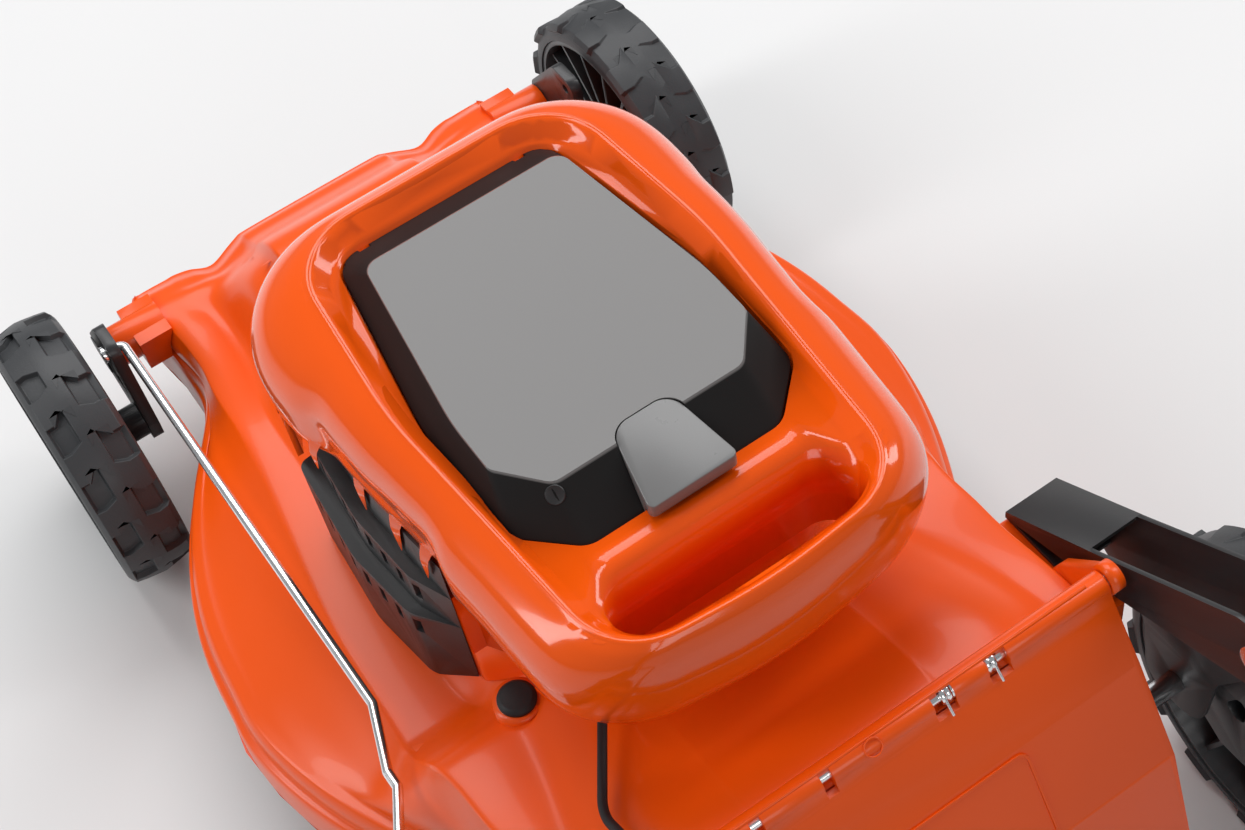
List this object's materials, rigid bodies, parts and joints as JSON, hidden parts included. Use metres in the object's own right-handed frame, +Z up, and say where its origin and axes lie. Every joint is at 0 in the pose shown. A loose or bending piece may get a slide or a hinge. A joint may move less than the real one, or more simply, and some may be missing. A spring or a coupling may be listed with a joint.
{
  "type": "push lawn mower",
  "caption": "Walk-behind battery lawn mower with a moulded deck, smoked battery lid, single height lever, rear flap, folding two-part handle and presence bail.",
  "frame": {"origin": "on the ground under the middle of the machine's bounding box", "axes": "+Z up, +Y the way it travels, +X to the operator's right"},
  "size_m": [0.503, 1.332, 0.992],
  "materials": {
    "satin_shell": "fine satin moulded plastic",
    "gloss_shell": "polished moulded plastic",
    "black_plastic": "grained moulded plastic",
    "grey_plastic": "satin moulded plastic",
    "smoked_plastic": "smoked gloss plastic",
    "zinc_steel": "bright zinc plated",
    "bare_steel": "turned",
    "cast_alloy": "die cast",
    "dark_steel": "black powder coated steel",
    "dark_tube": "dark grey powder coated steel tube",
    "soft_rubber": "soft, fine grain",
    "tread_rubber": "hard moulded tread",
    "wheel_plastic": "satin moulded plastic"
  },
  "bodies": {
    "chassis": {"deck_shell": "satin_shell", "motor_cover": "gloss_shell", "vent_inserts": "black_plastic", "lid_pin": "zinc_steel", "battery_bay": "black_plastic", "battery_pack": "black_plastic", "motor_housing": "cast_alloy", "hinge_rod": "zinc_steel", "left_bracket": "black_plastic", "right_bracket": "black_plastic", "bracket_bolts": "zinc_steel", "height_sector": "dark_steel", "deck_cable": "soft_rubber", "rubber_plug": "soft_rubber", "front_pivot_blocks": "satin_shell"},
    "lid": {"battery_lid": "smoked_plastic", "lid_tab": "grey_plastic"},
    "battery_release": {"battery_button": "grey_plastic"},
    "spindle": {"rotor_shaft": "bare_steel", "blade_holder": "black_plastic", "mower_blade": "dark_steel", "blade_bolt": "zinc_steel"},
    "front_arms": {"front_left_arm": "dark_steel", "front_right_arm": "dark_steel", "front_pivot_bar": "zinc_steel"},
    "rear_arms": {"rear_left_arm": "dark_steel", "rear_right_arm": "dark_steel", "rear_pivot_bar": "zinc_steel", "height_lever": "dark_steel", "lever_knob": "black_plastic"},
    "adjusting_rod": {"height_rod": "zinc_steel"},
    "flap": {"rear_flap": "satin_shell", "flap_spring": "zinc_steel"},
    "left_knob": {"left_star_knob": "black_plastic"},
    "right_knob": {"right_star_knob": "black_plastic"},
    "lower_handle": {"left_lower_tube": "dark_tube", "right_lower_tube": "dark_tube", "mid_bolts": "zinc_steel", "lower_cable": "soft_rubber"},
    "left_clamp": {"left_clamp_lever": "black_plastic"},
    "right_clamp": {"right_clamp_lever": "black_plastic"},
    "upper_handle_group": {"upper_handle": "dark_tube", "grips": "soft_rubber", "control_box": "black_plastic", "bail_bushes": "black_plastic", "upper_cable": "soft_rubber"},
    "bail": {"bail_bar": "dark_tube"},
    "start": {"start_button": "grey_plastic"},
    "front_left_wheel": {"front_left_tyre": "tread_rubber", "front_left_rim": "wheel_plastic", "front_left_hub_cap": "wheel_plastic"},
    "front_right_wheel": {"front_right_tyre": "tread_rubber", "front_right_rim": "wheel_plastic", "front_right_hub_cap": "wheel_plastic"},
    "rear_left_wheel": {"rear_left_tyre": "tread_rubber", "rear_left_rim": "wheel_plastic", "rear_left_hub_cap": "wheel_plastic"},
    "rear_right_wheel": {"rear_right_tyre": "tread_rubber", "rear_right_rim": "wheel_plastic", "rear_right_hub_cap": "wheel_plastic"}
  },
  "joints": [
    {"name": "height", "type": "hinge", "parent": "chassis", "child": "front_arms", "pos_m": [0, 0.6185, 0.11], "axis": [-1, 0, 0], "range_deg": [0, 60]},
    {"name": "height_rear", "type": "hinge", "parent": "chassis", "child": "rear_arms", "pos_m": [0, 0.0585, 0.1225], "axis": [-1, 0, 0], "range_deg": [0, 60]},
    {"name": "rod_pin", "type": "hinge", "parent": "front_arms", "child": "adjusting_rod", "pos_m": [-0.16, 0.5785, 0.154], "axis": [-1, 0, 0], "range_deg": [-60, 0]},
    {"name": "lid_hinge", "type": "hinge", "parent": "chassis", "child": "lid", "pos_m": [0, 0.4015, 0.3205], "axis": [-1, 0, 0], "range_deg": [0, 80]},
    {"name": "flap_hinge", "type": "hinge", "parent": "chassis", "child": "flap", "pos_m": [0, 0.0775, 0.24], "axis": [-1, 0, 0], "range_deg": [0, 60], "stiffness_Nm_per_rad": 0.6, "springref_deg": -51.57},
    {"name": "battery_release_press", "type": "slide", "parent": "chassis", "child": "battery_release", "axis": [0, 0, -1], "range_m": [0, 0.003], "stiffness_N_per_m": 900, "springref_m": -0.002},
    {"name": "blade_spin", "type": "hinge", "parent": "chassis", "child": "spindle", "pos_m": [0, 0.3565, 0.1], "axis": [0, 0, 1], "continuous": true},
    {"name": "left_knob_turn", "type": "hinge", "parent": "chassis", "child": "left_knob", "pos_m": [-0.195, -0.0065, 0.274], "axis": [-1, 0, 0], "continuous": true},
    {"name": "right_knob_turn", "type": "hinge", "parent": "chassis", "child": "right_knob", "pos_m": [0.195, -0.0065, 0.274], "axis": [1, 0, 0], "continuous": true},
    {"name": "lower_fold", "type": "hinge", "parent": "chassis", "child": "lower_handle", "pos_m": [0, -0.0065, 0.274], "axis": [-1, 0, 0], "range_deg": [0, 133]},
    {"name": "upper_fold", "type": "hinge", "parent": "lower_handle", "child": "upper_handle_group", "pos_m": [0, -0.3475, 0.63968], "axis": [1, 0, 0], "range_deg": [0, 160]},
    {"name": "left_clamp_swing", "type": "hinge", "parent": "lower_handle", "child": "left_clamp", "pos_m": [-0.2158, -0.3475, 0.63968], "axis": [0, -0.7314, -0.682], "range_deg": [0, 95]},
    {"name": "right_clamp_swing", "type": "hinge", "parent": "lower_handle", "child": "right_clamp", "pos_m": [0.2158, -0.3475, 0.63968], "axis": [0, 0.7314, 0.682], "range_deg": [0, 95]},
    {"name": "bail_squeeze", "type": "hinge", "parent": "upper_handle_group", "child": "bail", "pos_m": [0, -0.57938, 0.88834], "axis": [1, 0, 0], "range_deg": [0, 25], "stiffness_Nm_per_rad": 1.2, "springref_deg": -28.65},
    {"name": "start_press", "type": "slide", "parent": "upper_handle_group", "child": "start", "axis": [0, -0.7314, -0.682], "range_m": [0, 0.003], "stiffness_N_per_m": 700, "springref_m": -0.002},
    {"name": "front_left_spin", "type": "hinge", "parent": "front_arms", "child": "front_left_wheel", "pos_m": [-0.2, 0.5785, 0.0875], "axis": [-1, 0, 0], "continuous": true},
    {"name": "front_right_spin", "type": "hinge", "parent": "front_arms", "child": "front_right_wheel", "pos_m": [0.2, 0.5785, 0.0875], "axis": [-1, 0, 0], "continuous": true},
    {"name": "rear_left_spin", "type": "hinge", "parent": "rear_arms", "child": "rear_left_wheel", "pos_m": [-0.229, 0.0185, 0.1], "axis": [-1, 0, 0], "continuous": true},
    {"name": "rear_right_spin", "type": "hinge", "parent": "rear_arms", "child": "rear_right_wheel", "pos_m": [0.229, 0.0185, 0.1], "axis": [-1, 0, 0], "continuous": true}
  ],
  "couplings": [
    {"joint": "height_rear", "follows": "height", "ratio": 1},
    {"joint": "rod_pin", "follows": "height", "ratio": -1}
  ]
}
